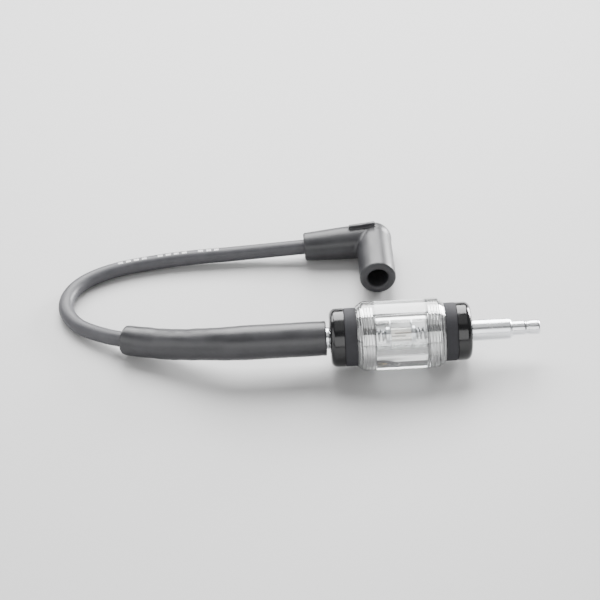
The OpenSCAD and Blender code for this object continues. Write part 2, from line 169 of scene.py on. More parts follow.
def runLength(points):
    return sum((b - a).length for a, b in zip(points, points[1:]))


def straight(a, b, count):
    return [Vector(a).lerp(Vector(b), i / count) for i in range(count)]


route = leadRoute(leadSettings, armSettings)
freeLine = smoothCurve(route, leadSettings["steps"], armWay(armSettings))
leadStop = armPoint(armSettings, leadSettings["stop"])
jacketLine = inRow(
    straight((-leadSettings["start"], 0, axisZ), route[0], leadSettings["endSteps"]) + freeLine[:-1]
    + straight(route[-1], leadStop, leadSettings["endSteps"]) + [leadStop])
coreLine = inRow([(-leadSettings["coreStart"], 0, axisZ)]) + jacketLine + inRow(
    [armPoint(armSettings, leadSettings["coreStop"])])
print("lead route", round(runLength(jacketLine) / mm, 1), "mm")

# Node helpers


def wire(tree, a, b):
    tree.links.new(a, b)


def makeGroup(name, kind, inputs, outputs):
    tree = bpy.data.node_groups.new(name, kind)
    for label, socket, value in inputs:
        item = tree.interface.new_socket(label, in_out="INPUT", socket_type="NodeSocket" + socket)
        if value is not None:
            item.default_value = value
    for label, socket in outputs:
        tree.interface.new_socket(label, in_out="OUTPUT", socket_type="NodeSocket" + socket)
    start = tree.nodes.new("NodeGroupInput")
    end = tree.nodes.new("NodeGroupOutput")
    return tree, start.outputs, end.inputs


def feed(tree, socket, value):
    if isinstance(value, bpy.types.NodeSocket):
        wire(tree, value, socket)
    elif value is not None:
        socket.default_value = value


def calc(tree, kind, a, b=None, c=None):
    node = tree.nodes.new("ShaderNodeMath")
    node.operation = kind
    for socket, value in zip(node.inputs, (a, b, c)):
        feed(tree, socket, value)
    return node.outputs[0]


def noise(tree, vector, scale, detail=2.0, rough=0.5):
    node = tree.nodes.new("ShaderNodeTexNoise")
    for label, value in zip(("Vector", "Scale", "Detail", "Roughness"), (vector, scale, detail, rough)):
        feed(tree, node.inputs[label], value)
    return node.outputs["Fac"]


def remap(tree, value, low, high, toLow=0.0, toHigh=1.0):
    node = tree.nodes.new("ShaderNodeMapRange")
    labels = ("Value", "From Min", "From Max", "To Min", "To Max")
    for label, v in zip(labels, (value, low, high, toLow, toHigh)):
        feed(tree, node.inputs[label], v)
    return node.outputs["Result"]


def mixColor(tree, factor, a, b):
    node = tree.nodes.new("ShaderNodeMix")
    node.data_type = "RGBA"
    feed(tree, node.inputs["Factor"], factor)
    feed(tree, node.inputs[6], a)  # the colour sockets of a mix
    feed(tree, node.inputs[7], b)
    return node.outputs[2]


def gray(v, tint=(1, 1, 1)):
    return (v * tint[0], v * tint[1], v * tint[2], 1)


# Shader groups shared by the finishes

skinOutputs = [("Color", "Color"), ("Roughness", "Float"), ("Height", "Float")]


def rubberSkinGroup():
    g, i, o = makeGroup("rubberSkin", "ShaderNodeTree", [
        ("Vector", "Vector", None), ("Base", "Color", gray(0.03)), ("Bloom", "Color", gray(0.1)),
        ("Bloom Amount", "Float", 0.4), ("Patch Scale", "Float", 60.0), ("Grain Scale", "Float", 2500.0),
        ("Rough Low", "Float", 0.4), ("Rough High", "Float", 0.6)], skinOutputs)
    speckSize = 0.35  # of the grain's scale
    speckBloom = 0.35
    grainRough = 0.4
    cloudRough = 0.6
    patchHeight = 0.35
    patch = noise(g, i["Vector"], i["Patch Scale"], detail=4.0, rough=0.6)
    grain = noise(g, i["Vector"], i["Grain Scale"], detail=3.0, rough=0.65)
    speck = remap(g, noise(g, i["Vector"], calc(g, "MULTIPLY", i["Grain Scale"], speckSize)), 0.62, 0.75)
    cloud = remap(g, patch, 0.35, 0.7)
    amount = calc(g, "MULTIPLY", i["Bloom Amount"], calc(g, "MULTIPLY_ADD", speck, speckBloom, cloud))
    wire(g, mixColor(g, amount, i["Base"], i["Bloom"]), o["Color"])
    mixed = calc(g, "MULTIPLY_ADD", grain, grainRough, calc(g, "MULTIPLY", cloud, cloudRough))
    wire(g, remap(g, mixed, 0.1, 0.9, i["Rough Low"], i["Rough High"]), o["Roughness"])
    wire(g, calc(g, "MULTIPLY_ADD", patch, patchHeight, grain), o["Height"])
    return g


def turnedSkinGroup():
    # tool rings about the barrel's axis
    g, i, o = makeGroup("turnedSkin", "ShaderNodeTree", [
        ("Vector", "Vector", None), ("Base", "Color", gray(0.75)), ("Tarnish", "Color", gray(0.4)),
        ("Tarnish Amount", "Float", 0.3), ("Ring Scale", "Float", 5000.0), ("Rough Low", "Float", 0.15),
        ("Rough High", "Float", 0.3)], skinOutputs)
    smearScale = 180.0
    ringRough = 0.5
    smearRough = 0.5
    split = g.nodes.new("ShaderNodeSeparateXYZ")
    wire(g, i["Vector"], split.inputs[0])
    x, y, z = split.outputs
    high = calc(g, "SUBTRACT", z, axisZ * mm)
    radius = calc(g, "SQRT", calc(g, "ADD", calc(g, "MULTIPLY", y, y), calc(g, "MULTIPLY", high, high)))
    join = g.nodes.new("ShaderNodeCombineXYZ")
    wire(g, x, join.inputs[0])
    wire(g, radius, join.inputs[1])
    ring = noise(g, join.outputs[0], i["Ring Scale"], rough=0.6)
    smear = remap(g, noise(g, i["Vector"], smearScale, detail=4.0, rough=0.65), 0.35, 0.75)
    wire(g, mixColor(g, calc(g, "MULTIPLY", smear, i["Tarnish Amount"]), i["Base"], i["Tarnish"]), o["Color"])
    mixed = calc(g, "MULTIPLY_ADD", ring, ringRough, calc(g, "MULTIPLY", smear, smearRough))
    wire(g, remap(g, mixed, 0.15, 0.85, i["Rough Low"], i["Rough High"]), o["Roughness"])
    wire(g, ring, o["Height"])
    return g


rubberSkin = rubberSkinGroup()
turnedSkin = turnedSkinGroup()

# Finishes: the values of each skin group, its bump (depth in mm), and the shader's own values

clearSettings = {"IOR": 1.49, "Coat Roughness": 0.06, "Coat IOR": 1.6}


def acrylic(low, high, bump, clear=1.0, polish=0.0):
    return {
        "group": turnedSkin, "bump": bump, "depth": 0.03,
        "skin": {"Base": gray(0.975, (0.985, 1, 1)), "Tarnish": gray(0.93, (0.98, 1, 1)),
                 "Tarnish Amount": 0.4, "Ring Scale": 4200.0, "Rough Low": low, "Rough High": high},
        "shader": {"Transmission Weight": clear, "Coat Weight": polish, **clearSettings},
    }


finishSettings = {
    "sleeveRubber": {
        "group": rubberSkin, "bump": 0.22, "depth": 0.05,
        "skin": {"Base": gray(0.027, (1, 1, 1.12)), "Bloom": gray(0.065, (1, 0.99, 1.08)),
                 "Bloom Amount": 0.35, "Patch Scale": 90.0, "Grain Scale": 3200.0, "Rough Low": 0.3,
                 "Rough High": 0.44},
        "shader": {"Specular IOR Level": 0.55},
    },
    "bootRubber": {
        "group": rubberSkin, "bump": 0.2, "depth": 0.04,
        "skin": {"Base": gray(0.025, (1, 1, 1.12)), "Bloom": gray(0.06, (1, 1, 1.08)), "Bloom Amount": 0.4,
                 "Patch Scale": 120.0, "Grain Scale": 4200.0, "Rough Low": 0.33, "Rough High": 0.45},
        "shader": {"Specular IOR Level": 0.5},
    },
    "leadRubber": {
        "group": rubberSkin, "bump": 0.2, "depth": 0.04,
        "skin": {"Base": gray(0.05, (1, 1, 1.12)), "Bloom": gray(0.1, (1, 1, 1.08)), "Bloom Amount": 0.35,
                 "Patch Scale": 140.0, "Grain Scale": 3600.0, "Rough Low": 0.4, "Rough High": 0.55},
        "shader": {},
    },
    "headPlastic": {
        "group": rubberSkin, "bump": 0.06, "depth": 0.02,
        "skin": {"Base": gray(0.005, (1, 1, 1.15)), "Bloom": gray(0.015, (1, 1, 1.1)), "Bloom Amount": 0.3,
                 "Patch Scale": 140.0, "Grain Scale": 5200.0, "Rough Low": 0.12, "Rough High": 0.22},
        "shader": {"Specular IOR Level": 0.5, "Coat Weight": 0.15, "Coat Roughness": 0.12},
    },
    "threadPlastic": {
        "group": rubberSkin, "bump": 0.25, "depth": 0.03,
        "skin": {"Base": gray(0.026, (1, 1, 1.15)), "Bloom": gray(0.046, (1, 1, 1.1)), "Bloom Amount": 0.5,
                 "Patch Scale": 260.0, "Grain Scale": 5200.0, "Rough Low": 0.7, "Rough High": 0.88},
        "shader": {"Specular IOR Level": 0.35},
    },
    "platedMetal": {
        "group": turnedSkin, "bump": 0.18, "depth": 0.02,
        "skin": {"Base": gray(0.93, (0.97, 0.99, 1.02)), "Tarnish": gray(0.72, (0.98, 0.99, 1)),
                 "Tarnish Amount": 0.25, "Ring Scale": 6500.0, "Rough Low": 0.18, "Rough High": 0.32},
        "shader": {"Metallic": 1},
    },
    "brass": {
        "group": turnedSkin, "bump": 0.2, "depth": 0.03,
        "skin": {"Base": (0.72, 0.5, 0.2, 1), "Tarnish": (0.36, 0.22, 0.09, 1), "Tarnish Amount": 0.5,
                 "Ring Scale": 3200.0, "Rough Low": 0.22, "Rough High": 0.42},
        "shader": {"Metallic": 1},
    },
    "washerMetal": {
        "group": turnedSkin, "bump": 0.2, "depth": 0.02,
        "skin": {"Base": gray(0.62, (1, 0.97, 0.9)), "Tarnish": gray(0.35, (1, 0.95, 0.85)),
                 "Tarnish Amount": 0.4, "Ring Scale": 4200.0, "Rough Low": 0.25, "Rough High": 0.4},
        "shader": {"Metallic": 1},
    },
    "springSteel": {
        "group": rubberSkin, "bump": 0.1, "depth": 0.02,
        "skin": {"Base": gray(0.42, (0.97, 0.98, 1.03)), "Bloom": gray(0.2), "Bloom Amount": 0.4,
                 "Patch Scale": 300.0, "Grain Scale": 6000.0, "Rough Low": 0.18, "Rough High": 0.36},
        "shader": {"Metallic": 1},
    },
    "electrodeMetal": {
        "group": rubberSkin, "bump": 0.1, "depth": 0.02,
        "skin": {"Base": gray(0.4, (1, 0.95, 0.9)), "Bloom": gray(0.16, (1, 0.9, 0.8)), "Bloom Amount": 0.6,
                 "Patch Scale": 500.0, "Grain Scale": 6000.0, "Rough Low": 0.3, "Rough High": 0.5},
        "shader": {"Metallic": 1},
    },
    "leadCore": {
        "group": rubberSkin, "bump": 0.3, "depth": 0.05,
        "skin": {"Base": gray(0.03), "Bloom": gray(0.09), "Bloom Amount": 0.5, "Patch Scale": 400.0,
                 "Grain Scale": 6000.0, "Rough Low": 0.5, "Rough High": 0.7},
        "shader": {},
    },
    "clearAcrylic": acrylic(0.0, 0.04, bump=0.02, clear=0.93, polish=1.0),
    "threadAcrylic": acrylic(0.05, 0.14, bump=0.08),
    "drilledAcrylic": acrylic(0.1, 0.2, bump=0.1),
    "lampGlass": {
        "group": turnedSkin, "bump": 0.02, "depth": 0.02,
        "skin": {"Base": gray(0.97, (1, 0.985, 0.96)), "Tarnish": gray(0.85, (1, 0.95, 0.88)),
                 "Tarnish Amount": 0.5, "Ring Scale": 900.0, "Rough Low": 0.0, "Rough High": 0.08},
        "shader": {"Transmission Weight": 1, "IOR": 1.47},
    },
}


def makeFinish(name, s):
    m = bpy.data.materials.new(name)
    m.use_nodes = True
    tree = m.node_tree
    shader = tree.nodes["Principled BSDF"]
    place = tree.nodes.new("ShaderNodeTexCoord")
    skin = tree.nodes.new("ShaderNodeGroup")
    skin.node_tree = s["group"]
    wire(tree, place.outputs["Object"], skin.inputs["Vector"])
    for label, v in s["skin"].items():
        skin.inputs[label].default_value = v
    for label, v in s["shader"].items():
        shader.inputs[label].default_value = v
    wire(tree, skin.outputs["Color"], shader.inputs["Base Color"])
    wire(tree, skin.outputs["Roughness"], shader.inputs["Roughness"])
    ridge = tree.nodes.new("ShaderNodeBump")
    ridge.inputs["Strength"].default_value = s["bump"]
    ridge.inputs["Distance"].default_value = s["depth"] * mm
    wire(tree, skin.outputs["Height"], ridge.inputs["Height"])
    wire(tree, ridge.outputs[0], shader.inputs["Normal"])
    return m


def readAttribute(tree, name):
    node = tree.nodes.new("ShaderNodeAttribute")
    node.attribute_name = name
    return node.outputs["Fac"]


def addInk(m, s):
    # rows of plain dashes along the upper side, worn in places
    tree = m.node_tree
    base = tree.nodes["Principled BSDF"].inputs["Base Color"]
    rubber = base.links[0].from_socket
    along = readAttribute(tree, "along")
    dash = calc(tree, "FRACT", calc(tree, "MULTIPLY", along, s["inkDashes"]))
    row = calc(tree, "FRACT", calc(tree, "MULTIPLY", along, s["inkRows"]))
    ink = calc(tree, "LESS_THAN", dash, s["inkDash"])
    for kind, value, limit in (
            ("GREATER_THAN", row, s["inkGap"]), ("GREATER_THAN", along, s["inkFrom"]),
            ("LESS_THAN", along, s["inkTo"]),
            ("GREATER_THAN", readAttribute(tree, "facing"), math.cos(math.radians(s["inkHalf"])))):
        ink = calc(tree, "MULTIPLY", ink, calc(tree, kind, value, limit))
    place = tree.nodes.new("ShaderNodeTexCoord")
    spots = noise(tree, place.outputs["Object"], s["inkWear"], detail=3.0)
    worn = remap(tree, spots, 0.4, 0.6, toLow=0.45)
    wire(tree, mixColor(tree, calc(tree, "MULTIPLY", ink, worn), rubber, gray(s["inkTone"])), base)


finishes = {name: makeFinish(name, s) for name, s in finishSettings.items()}
addInk(finishes["leadRubber"], leadSettings)
print("finishes made")

# Geometry Nodes trees


def endTree(g, i, o, shape):
    real = g.nodes.new("GeometryNodeRealizeInstances")
    wire(g, shape, real.inputs[0])
    paint = g.nodes.new("GeometryNodeSetMaterial")
    wire(g, real.outputs[0], paint.inputs["Geometry"])
    wire(g, i["Material"], paint.inputs["Material"])
    wire(g, paint.outputs[0], o["Mesh"])


def storeValue(g, name, shape, value):
    node = g.nodes.new("GeometryNodeStoreNamedAttribute")
    node.inputs["Name"].default_value = name
    wire(g, shape, node.inputs["Geometry"])
    wire(g, value, node.inputs["Value"])
    return node.outputs[0]


def pathTree():
    # A round section along a line, as wide as the line's girth
    g, i, o = makeGroup("followPath", "GeometryNodeTree", [
        ("Line", "Geometry", None), ("Sides", "Int", 24), ("Marked Side", "Vector", None),
        ("Material", "Material", None)], [("Mesh", "Geometry")])
    n = g.nodes
    curve = n.new("GeometryNodeMeshToCurve")
    wire(g, i["Line"], curve.inputs["Mesh"])
    spot = n.new("GeometryNodeSplineParameter")
    marked = storeValue(g, "along", curve.outputs[0], spot.outputs["Length"])
    circle = n.new("GeometryNodeCurvePrimitiveCircle")
    circle.inputs["Radius"].default_value = 1
    wire(g, i["Sides"], circle.inputs["Resolution"])
    girth = n.new("GeometryNodeInputNamedAttribute")
    girth.inputs["Name"].default_value = "girth"
    sweep = n.new("GeometryNodeCurveToMesh")
    sweep.inputs["Fill Caps"].default_value = True
    wire(g, marked, sweep.inputs["Curve"])
    wire(g, circle.outputs[0], sweep.inputs["Profile Curve"])
    wire(g, girth.outputs["Attribute"], sweep.inputs["Scale"])
    dot = n.new("ShaderNodeVectorMath")
    dot.operation = "DOT_PRODUCT"
    wire(g, n.new("GeometryNodeInputNormal").outputs[0], dot.inputs[0])
    wire(g, i["Marked Side"], dot.inputs[1])
    endTree(g, i, o, storeValue(g, "facing", sweep.outputs[0], dot.outputs["Value"]))
    return g


def threadTree():
    # A wall of revolution about the barrel's axis whose radius rises and falls along a right-hand helix
    g, i, o = makeGroup("cutThread", "GeometryNodeTree", [
        ("Line", "Geometry", None), ("From", "Float", 0.0), ("To", "Float", 0.01),
        ("Root Radius", "Float", 0.0121), ("Crest Radius", "Float", 0.0127), ("Pitch", "Float", 0.00127),
        ("Rows", "Int", 80), ("Columns", "Int", 129), ("Fade From", "Float", 0.0006),
        ("Fade To", "Float", 0.0006), ("Flank", "Float", 0.4), ("Material", "Material", None)],
        [("Mesh", "Geometry")])
    seamShift = 0.0001  # of a turn, so that both ends of the seam get one height
    rootFlat = 0.03  # of a turn
    n = g.nodes
    grid = n.new("GeometryNodeMeshGrid")
    grid.inputs["Size X"].default_value = 1
    grid.inputs["Size Y"].default_value = 1
    wire(g, i["Rows"], grid.inputs["Vertices X"])
    wire(g, i["Columns"], grid.inputs["Vertices Y"])
    at = n.new("GeometryNodeInputPosition")
    split = n.new("ShaderNodeSeparateXYZ")
    wire(g, at.outputs[0], split.inputs[0])
    u = calc(g, "ADD", split.outputs[0], 0.5)
    v = calc(g, "ADD", split.outputs[1], 0.5)
    span = calc(g, "ADD", calc(g, "SUBTRACT", i["To"], i["From"]), i["Pitch"])
    run = calc(g, "MULTIPLY", u, span)
    raw = calc(g, "ADD", calc(g, "SUBTRACT", calc(g, "ADD", run, i["From"]), i["Pitch"]),
               calc(g, "MULTIPLY", v, i["Pitch"]))
    x = calc(g, "MINIMUM", calc(g, "MAXIMUM", raw, i["From"]), i["To"])
    phase = calc(g, "FRACT", calc(g, "ADD", calc(g, "DIVIDE", run, i["Pitch"]), seamShift))
    rise = remap(g, calc(g, "PINGPONG", phase, 0.5), rootFlat, i["Flank"])
    fadeIn = remap(g, calc(g, "SUBTRACT", x, i["From"]), 0.0, i["Fade From"])
    fadeOut = remap(g, calc(g, "SUBTRACT", i["To"], x), 0.0, i["Fade To"])
    height = calc(g, "MULTIPLY", rise, calc(g, "MULTIPLY", fadeIn, fadeOut))
    depth = calc(g, "SUBTRACT", i["Crest Radius"], i["Root Radius"])
    radius = calc(g, "ADD", i["Root Radius"], calc(g, "MULTIPLY", height, depth))
    angle = calc(g, "MULTIPLY", v, math.tau)
    place = n.new("ShaderNodeCombineXYZ")
    wire(g, x, place.inputs[0])
    wire(g, calc(g, "MULTIPLY", radius, calc(g, "COSINE", angle)), place.inputs[1])
    wire(g, calc(g, "MULTIPLY_ADD", radius, calc(g, "SINE", angle), axisZ * mm), place.inputs[2])
    move = n.new("GeometryNodeSetPosition")
    wire(g, grid.outputs["Mesh"], move.inputs["Geometry"])
    wire(g, place.outputs[0], move.inputs["Position"])
    endTree(g, i, o, move.outputs[0])
    return g


followPath = pathTree()
cutThread = threadTree()


def placedObject(name, mesh):
    obj = bpy.data.objects.new(name, mesh)
    scene.collection.objects.link(obj)
    return obj


def lineObject(name, points, girth=None):
    # girth: one radius for each point, in metres
    mesh = bpy.data.meshes.new(name)
    mesh.from_pydata([tuple(p) for p in points], [(k, k + 1) for k in range(len(points) - 1)], [])
    if girth is not None:
        mesh.attributes.new("girth", "FLOAT", "POINT").data.foreach_set("value", girth)
    return placedObject(name, mesh)


def runTree(obj, tree, values):
    mod = obj.modifiers.new("nodes", "NODES")
    mod.node_group = tree
    for item in tree.interface.items_tree:
        if item.in_out == "INPUT" and item.name in values:
            mod[item.identifier] = values[item.name]
    view = bpy.context.evaluated_depsgraph_get()
    mesh = bpy.data.meshes.new_from_object(obj.evaluated_get(view))
    obj.modifiers.remove(mod)
    mesh.name = obj.name
    obj.data = mesh


def sweptPiece(name, points, girth, sides, finish, marked=(0, 0, 1), sharp=50):
    obj = lineObject(name, points, girth)
    runTree(obj, followPath, {"Sides": sides, "Marked Side": marked, "Material": finishes[finish]})
    obj.data.shade_smooth()
    obj.data.set_sharp_from_angle(angle=math.radians(sharp))
    return obj


# Lead: the cord comes first, because its reach is tested

jacket = sweptPiece("leadJacket", jacketLine, [leadSettings["diameter"] / 2 * mm] * len(jacketLine),
                    leadSettings["sides"], "leadRubber", leadSettings["inkSide"])
core = sweptPiece("leadCore", coreLine, [leadSettings["coreDiameter"] / 2 * mm] * len(coreLine),
                  leadSettings["coreSides"], "leadCore")
print("lead swept")

# Turned pieces: a profile's points are stations along X from the barrel's middle, radii and roundings, in mm


def fillet(profile, steps=5, most=0.49):
    # most: the share of each side that a rounding may take
    out = []
    last = len(profile) - 1
    for k, (x, r, *rounding) in enumerate(profile):
        if not rounding or k in (0, last):
            out.append((x, r))
            continue
        here = Vector((x, r))
        a = Vector(profile[k - 1][:2]) - here
        b = Vector(profile[k + 1][:2]) - here
        cut = min(rounding[0], a.length * most, b.length * most)
        p, q = here + a.normalized() * cut, here + b.normalized() * cut
        for t in (j / steps for j in range(steps + 1)):
            out.append(tuple(p * (1 - t) ** 2 + here * (2 * t * (1 - t)) + q * t ** 2))
    return out


def mirrored(profile, side):
    return [(side * x, r) for x, r in profile]


def lathe(profile, columns):
    verts, faces, rings = [], [], []
    for x, r in profile:
        if r < 1e-6:  # a pole on the axis
            rings.append([len(verts)])
            verts.append(((x - midX) * mm, 0, axisZ * mm))
            continue
        rings.append(list(range(len(verts), len(verts) + columns)))
        for k in range(columns):
            a = math.tau * k / columns
            verts.append(((x - midX) * mm, r * math.cos(a) * mm, (axisZ + r * math.sin(a)) * mm))
    for a, b in zip(rings, rings[1:]):
        for k in range(columns):
            n = (k + 1) % columns
            if len(a) == 1:
                faces.append((a[0], b[n], b[k]))
            elif len(b) == 1:
                faces.append((a[k], a[n], b[0]))
            else:
                faces.append((a[k], a[n], b[n], b[k]))
    return verts, faces


def meshObject(name, parts, coats, sharp, weld=1e-6):
    # parts: (verts, faces, number of the finish in coats)
    bm = bmesh.new()
    for verts, faces, coat in parts:
        points = [bm.verts.new(v) for v in verts]
        for f in faces:
            face = bm.faces.new([points[k] for k in f])
            face.material_index = coat
    bmesh.ops.remove_doubles(bm, verts=bm.verts, dist=weld)
    bmesh.ops.dissolve_degenerate(bm, edges=bm.edges, dist=1e-8)
    bmesh.ops.recalc_face_normals(bm, faces=bm.faces)
    mesh = bpy.data.meshes.new(name)
    bm.to_mesh(mesh)
    bm.free()
    for coat in coats:
        mesh.materials.append(finishes[coat])
    mesh.shade_smooth()
    mesh.set_sharp_from_angle(angle=math.radians(sharp))
    return placedObject(name, mesh)


threadSettings = {
    "pitch": 1.27, "columns": 144, "rowsPerTurn": 10,
    "weld": 2e-6,  # metres, joins the threads to the turned faces
}


def threadWall(name, start, end, root, crest, fades, flank, s):
    # stations and radii in mm; the tree works in the row frame
    low, high = sorted((start, end))
    obj = lineObject(name, [(0, 0, 0), (mm, 0, 0)])
    rows = int((high - low + s["pitch"]) / s["pitch"] * s["rowsPerTurn"]) + 1
    runTree(obj, cutThread, {
        "From": (low - midX) * mm, "To": (high - midX) * mm, "Root Radius": root * mm,
        "Crest Radius": crest * mm, "Pitch": s["pitch"] * mm, "Rows": rows, "Columns": s["columns"] + 1,
        "Fade From": fades[0] * mm, "Fade To": fades[1] * mm, "Flank": flank,
        "Material": finishes["threadPlastic"]})
    verts = [tuple(v.co) for v in obj.data.vertices]
    faces = [tuple(p.vertices) for p in obj.data.polygons]
    bpy.data.objects.remove(obj)
    return verts, faces


# Clear barrel

barrelSettings = {
    "radius": 15.2, "half": 19.05, "chamferLength": 2.6, "chamferDepth": 1.9, "edge": 0.35,
    "chamber": 6.5, "chamberEdge": 0.25, "shoulder": 10.85, "threadInner": 12.85, "threadOuter": 13.35,
    "fades": (0.7, 0.7), "flank": 0.44, "sharp": 30,
}


def makeBarrel(s, thread):
    end, r, edge = s["half"], s["radius"], s["edge"]
    low = r - s["chamferDepth"]
    bend = end - s["chamferLength"]
    mouth, shoulder = s["threadInner"], s["shoulder"]
    outer = fillet([
        (-end, mouth), (-end, low, edge), (-bend, r, edge * 2), (bend, r, edge * 2), (end, low, edge),
        (end, mouth)])
    chamber = fillet([
        (-shoulder, mouth), (-shoulder, s["chamber"], s["chamberEdge"]),
        (shoulder, s["chamber"], s["chamberEdge"]), (shoulder, mouth)])
    parts = [lathe(outer, thread["columns"]) + (0,), lathe(chamber, thread["columns"]) + (1,)]
    for side in (-1, 1):
        wall = threadWall("barrelThread", side * shoulder, side * end, mouth, s["threadOuter"], s["fades"],
                          s["flank"], thread)
        parts.append(wall + (2,))
    obj = meshObject("clearBarrel", parts, ("clearAcrylic", "drilledAcrylic", "threadAcrylic"), s["sharp"],
                     thread["weld"])
    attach(obj, "barrel")
    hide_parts("barrel")


makeBarrel(barrelSettings, threadSettings)
print("barrel made")

# End plugs

plugSettings = {
    "crest": 12.7, "root": 12.15, "nose": 11.05, "noseRound": 0.3, "bandIn": 19.05, "headIn": 24.35,
    "line": 0.3, "edge": 0.15, "headOut": 30.65, "headRound": 2.8, "roundSteps": 10,
    "face": 6.1, "faceSlope": 0.3, "faceSink": 0.15,  # the face is sunk round the bore
    "pocket": 4.75, "pocketRound": 0.4, "pocketEnd": 21.55, "bore": 3.05, "boreSink": 0.5,
    "noseFade": 1.0, "bandFade": 0.4, "flank": 0.26, "sharp": 32,
}


def makePlug(name, side, body, node, s, thread):
    crest, edge = s["crest"], s["edge"]
    low = crest - s["line"]
    bandOut = s["headIn"] - s["line"]
    face = s["headOut"] - s["faceSink"]
    band = fillet([(s["bandIn"], s["root"]), (s["bandIn"], crest, edge), (bandOut, crest, edge),
                   (bandOut, low), (s["headIn"], low)])
    head = [(s["headIn"], low), (s["headIn"], crest - edge), (s["headIn"] + edge, crest)]
    for k in range(s["roundSteps"] + 1):
        a = math.radians(90 / s["roundSteps"] * k)
        head.append((s["headOut"] - s["headRound"] * (1 - math.sin(a)),
                     crest - s["headRound"] * (1 - math.cos(a))))
    head += [(s["headOut"], s["face"] + s["faceSlope"]), (face, s["face"]), (face, s["bore"] + s["boreSink"]),
             (face - s["boreSink"], s["bore"])]
    hollow = fillet([(face - s["boreSink"], s["bore"]), (s["pocketEnd"], s["bore"]),
                     (s["pocketEnd"], s["pocket"], s["pocketRound"]),
                     (s["nose"], s["pocket"], s["noseRound"]), (s["nose"], s["root"])])
    fades = (s["noseFade"], s["bandFade"])[::side]
    wall = threadWall(name + "Thread", side * s["nose"], side * s["bandIn"], s["root"], crest, fades,
                      s["flank"], thread)
    parts = [lathe(mirrored(p, side), thread["columns"]) + (coat,)
             for p, coat in ((head, 0), (hollow, 1), (band, 1))]
    parts.append(wall + (1,))
    obj = meshObject(name, parts, ("headPlastic", "threadPlastic"), s["sharp"], thread["weld"])
    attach(obj, body)
    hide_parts(node)


makePlug("postPlug", 1, "post_plug", "post_plug", plugSettings, threadSettings)
makePlug("leadPlug", -1, "lead_plug", "lead_plug", plugSettings, threadSettings)
print("plugs made")

# Terminal post and lead stud

postSettings = {
    "radius": 4.7, "step": 30.75, "end": 48.35, "chamfer": 0.8, "tip": 3.175, "tipEnd": 60.75,
    "tipRound": 1.2, "waist": 2.8, "waistWidth": 2.2, "waistPlace": 5.7, "journal": 3.0,
    "journalIn": 18.85, "pilot": 1.6, "pilotIn": 17.35, "grooveIn": 19.8, "grooveOut": 20.6, "groove": 2.4,
    "columns": 96, "sharp": 40,
}
studSettings = {"collarEnd": 33.75, "shank": 2.5, "end": 47.55, "grooves": 4, "grooveDepth": 0.35}


def journalProfile(s, stepRound):
    return [(s["pilotIn"], 0), (s["pilotIn"], s["pilot"], 0.3), (s["journalIn"], s["pilot"]),
            (s["journalIn"], s["journal"], 0.25), (s["grooveIn"], s["journal"]), (s["grooveIn"], s["groove"]),
            (s["grooveOut"], s["groove"]), (s["grooveOut"], s["journal"]), (s["step"], s["journal"]),
            (s["step"], s["radius"], stepRound)]


def makePost(s):
    waist = s["tipEnd"] - s["waistPlace"]
    w = s["waistWidth"]
    profile = journalProfile(s, 0.25) + [
        (s["end"] - s["chamfer"], s["radius"], 0.3), (s["end"], s["radius"] - s["chamfer"], 0.2),
        (s["end"], s["tip"], 0.3), (waist - w / 2, s["tip"], 0.4), (waist - w / 6, s["waist"], 0.5),
        (waist + w / 6, s["waist"], 0.5), (waist + w / 2, s["tip"], 0.4),
        (s["tipEnd"], s["tip"], s["tipRound"]), (s["tipEnd"], 0)]
    parts = [lathe(fillet(profile), s["columns"]) + (0,)]
    obj = meshObject("terminalPost", parts, ("platedMetal",), s["sharp"])
    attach(obj, "post_carrier")
    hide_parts("terminal_post")


def makeStud(p, s):
    pitch = (s["end"] - s["collarEnd"]) / (s["grooves"] + 1)
    d = s["grooveDepth"]
    profile = journalProfile(p, 0.3) + [(s["collarEnd"], p["radius"], 0.4), (s["collarEnd"], s["shank"])]
    for k in range(1, s["grooves"] + 1):
        mid = s["collarEnd"] + k * pitch
        profile += [(mid - 2 * d, s["shank"]), (mid - d, s["shank"] - d), (mid + d, s["shank"] - d),
                    (mid + 2 * d, s["shank"])]
    profile += [(s["end"], s["shank"]), (s["end"], 0)]
    parts = [lathe(mirrored(fillet(profile), -1), p["columns"]) + (0,)]
    obj = meshObject("leadStud", parts, ("platedMetal",), p["sharp"])
    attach(obj, "lead_carrier")
    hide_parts("lead_stud")


makePost(postSettings)
makeStud(postSettings, studSettings)
print("post and stud turned")

# Lamp

lampSettings = {
    "end": 6.3, "capIn": 4.3, "capRadius": 3.7, "capEnd": 0.5, "flange": 6.45, "flangeThickness": 0.6,
    "glass": 3.15, "glassWall": 0.6, "gap": 0.05, "boss": 1.9, "bossLength": 1.4, "electrode": 0.45,
    "electrodeLength": 8.0, "electrodeGap": 0.02, "electrodeSides": 20,
    "electrodeTip": ((0, 0.6), (0.12, 0.9), (0.3, 1.0)),  # way from the tip, share of the radius
    "columns": 72, "glassSharp": 50, "capSharp": 40,
}


